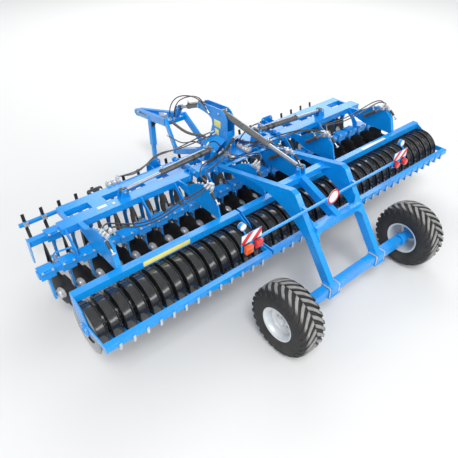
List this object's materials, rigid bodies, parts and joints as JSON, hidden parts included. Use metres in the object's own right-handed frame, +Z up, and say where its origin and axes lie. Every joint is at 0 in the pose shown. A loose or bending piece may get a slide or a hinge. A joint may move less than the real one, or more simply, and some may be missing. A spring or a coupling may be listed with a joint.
{
  "type": "disc harrow",
  "caption": "Trailed folding disc harrow with notched discs on arms, ring rollers with scrapers, a transport chassis on flotation tyres, a gooseneck tower and a jointed drawbar.",
  "frame": {"origin": "centre of the bounding box at ground level", "axes": "+X to the right across the working width, +Y forwards towards the hitch, +Z up"},
  "size_m": [6.17, 5.3418, 1.718],
  "materials": {
    "board_blue": "satin",
    "chrome": "polished",
    "cylinder_black": "satin",
    "disc_steel": "satin",
    "frame_blue": "satin",
    "lamp_red": "gloss",
    "rim_silver": "satin",
    "roller_black": "gloss",
    "sign_white": "satin",
    "tyre": "matte",
    "zinc": "matte"
  },
  "bodies": {
    "frame": {"centre_frame": "frame_blue", "tower": "frame_blue", "centre_disc_carriers": "frame_blue", "centre_discs": "disc_steel", "centre_disc_hubs": "zinc", "centre_roller_frame": "frame_blue", "centre_depth_cylinders": "zinc", "centre_scraper_bar": "frame_blue", "centre_tine_bar": "frame_blue"},
    "left_wing": {"left_wing_frame": "frame_blue", "left_disc_carriers": "frame_blue", "left_discs": "disc_steel", "left_disc_hubs": "zinc", "left_roller_frame": "frame_blue", "left_depth_cylinders": "zinc", "left_scraper_bar": "frame_blue", "left_tine_bar": "frame_blue"},
    "left_fold_barrel": {"left_fold_barrel": "cylinder_black"},
    "left_fold_rod": {"left_fold_rod": "chrome"},
    "right_wing": {"right_wing_frame": "frame_blue", "right_disc_carriers": "frame_blue", "right_discs": "disc_steel", "right_disc_hubs": "zinc", "right_roller_frame": "frame_blue", "right_depth_cylinders": "zinc", "right_scraper_bar": "frame_blue", "right_tine_bar": "frame_blue"},
    "right_fold_barrel": {"right_fold_barrel": "cylinder_black"},
    "right_fold_rod": {"right_fold_rod": "chrome"},
    "left_roller": {"left_roller": "roller_black"},
    "centre_roller": {"centre_roller": "roller_black"},
    "right_roller": {"right_roller": "roller_black"},
    "lift_barrel": {"lift_barrel": "cylinder_black"},
    "lift_rod": {"lift_rod": "chrome"},
    "level_barrel": {"level_barrel": "cylinder_black"},
    "level_rod": {"level_rod": "chrome"},
    "chassis": {"chassis": "frame_blue", "light_bar": "frame_blue", "light_boards": "board_blue", "rear_lamps": "lamp_red", "round_sign": "sign_white"},
    "left_wheel": {"left_tyre": "tyre", "left_rim": "rim_silver", "left_wheel_hub": "frame_blue"},
    "right_wheel": {"right_tyre": "tyre", "right_rim": "rim_silver", "right_wheel_hub": "frame_blue"},
    "drawbar": {"drawbar": "frame_blue", "jack_tube": "frame_blue"},
    "jack_leg": {"jack_leg": "frame_blue"}
  },
  "joints": [
    {"name": "left_wing_fold", "type": "hinge", "parent": "frame", "child": "left_wing", "pos_m": [-0.8, 0.065, 1.175], "axis": [0, 1, 0], "range_deg": [0, 90]},
    {"name": "left_fold_barrel_turn", "type": "hinge", "parent": "frame", "child": "left_fold_barrel", "pos_m": [-0.425, 0.005, 1.33], "axis": [0, 1, 0], "range_deg": [0, 74.51]},
    {"name": "left_fold_rod_slide", "type": "slide", "parent": "left_fold_barrel", "child": "left_fold_rod", "axis": [-0.9983, 0, -0.0587], "range_m": [-0.4849, 0]},
    {"name": "right_wing_fold", "type": "hinge", "parent": "frame", "child": "right_wing", "pos_m": [0.8, 0.065, 1.175], "axis": [0, -1, 0], "range_deg": [0, 90]},
    {"name": "right_fold_barrel_turn", "type": "hinge", "parent": "frame", "child": "right_fold_barrel", "pos_m": [0.425, 0.005, 1.33], "axis": [0, -1, 0], "range_deg": [0, 74.51]},
    {"name": "right_fold_rod_slide", "type": "slide", "parent": "right_fold_barrel", "child": "right_fold_rod", "axis": [0.9983, 0, -0.0587], "range_m": [-0.4849, 0]},
    {"name": "drawbar_tilt", "type": "hinge", "parent": "frame", "child": "drawbar", "pos_m": [0, 1.095, 0.8], "axis": [1, 0, 0], "range_deg": [-8, 10]},
    {"name": "level_barrel_turn", "type": "hinge", "parent": "frame", "child": "level_barrel", "pos_m": [0, 0.717, 1.61], "axis": [1, 0, 0], "range_deg": [-2.06, 1.85]},
    {"name": "level_rod_slide", "type": "slide", "parent": "level_barrel", "child": "level_rod", "axis": [0, 0.924, -0.3823], "range_m": [-0.1097, 0.0887]},
    {"name": "chassis_lift", "type": "hinge", "parent": "frame", "child": "chassis", "pos_m": [0, -0.185, 1.12], "axis": [-1, 0, 0], "range_deg": [0, 15]},
    {"name": "lift_barrel_turn", "type": "hinge", "parent": "frame", "child": "lift_barrel", "pos_m": [0, 0.255, 1.65], "axis": [-1, 0, 0], "range_deg": [0, 11.13]},
    {"name": "lift_rod_slide", "type": "slide", "parent": "lift_barrel", "child": "lift_rod", "axis": [0, -0.9901, -0.14], "range_m": [-0.1373, 0]},
    {"name": "jack_leg_slide", "type": "slide", "parent": "drawbar", "child": "jack_leg", "axis": [0, 0, 1], "range_m": [0, 0.36]},
    {"name": "left_wheel_spin", "type": "hinge", "parent": "chassis", "child": "left_wheel", "pos_m": [-1.16, -2.235, 0.437], "axis": [-1, 0, 0], "continuous": true},
    {"name": "right_wheel_spin", "type": "hinge", "parent": "chassis", "child": "right_wheel", "pos_m": [1.16, -2.235, 0.437], "axis": [-1, 0, 0], "continuous": true},
    {"name": "left_roller_spin", "type": "hinge", "parent": "left_wing", "child": "left_roller", "pos_m": [-1.9, -1.16, 0.67], "axis": [-1, 0, 0], "continuous": true},
    {"name": "centre_roller_spin", "type": "hinge", "parent": "frame", "child": "centre_roller", "pos_m": [0, -1.16, 0.67], "axis": [-1, 0, 0], "continuous": true},
    {"name": "right_roller_spin", "type": "hinge", "parent": "right_wing", "child": "right_roller", "pos_m": [1.9, -1.16, 0.67], "axis": [-1, 0, 0], "continuous": true}
  ],
  "couplings": [
    {"joint": "left_fold_barrel_turn", "follows": "left_wing_fold", "ratio": 0.81682},
    {"joint": "left_fold_rod_slide", "follows": "left_wing_fold", "m_per_rad": -0.30549},
    {"joint": "right_fold_barrel_turn", "follows": "right_wing_fold", "ratio": 0.81682},
    {"joint": "right_fold_rod_slide", "follows": "right_wing_fold", "m_per_rad": -0.30549},
    {"joint": "level_barrel_turn", "follows": "drawbar_tilt", "ratio": -0.10638},
    {"joint": "level_rod_slide", "follows": "drawbar_tilt", "m_per_rad": -0.59973},
    {"joint": "lift_barrel_turn", "follows": "chassis_lift", "ratio": 0.67508},
    {"joint": "lift_rod_slide", "follows": "chassis_lift", "m_per_rad": -0.50537}
  ]
}
